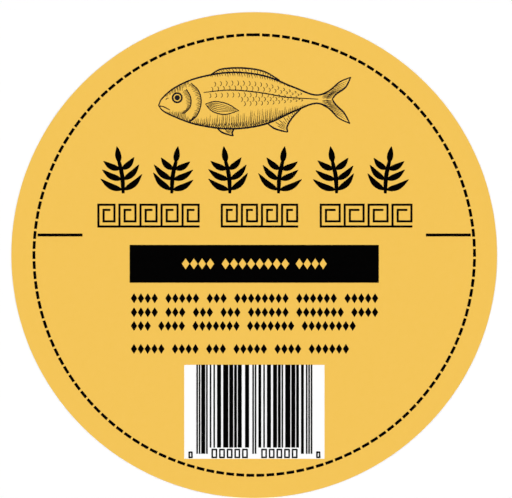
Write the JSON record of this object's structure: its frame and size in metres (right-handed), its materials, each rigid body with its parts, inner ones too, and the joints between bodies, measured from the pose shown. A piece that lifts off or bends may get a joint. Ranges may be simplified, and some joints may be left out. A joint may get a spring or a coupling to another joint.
{
  "type": "round food label",
  "caption": "Thin round die-cut paper label for the lid of a food tub, with a flat adhesive back and a printed face.",
  "frame": {"origin": "centre of the adhesive back, on the surface that the label lies on", "axes": "+Z out of the printed face, +Y to the top of the print, +X to its right"},
  "size_m": [0.1016, 0.1016, 0.0003],
  "materials": {
    "printed_paper": "semi-gloss label paper"
  },
  "bodies": {
    "root": {"label": "printed_paper"}
  },
  "joints": []
}
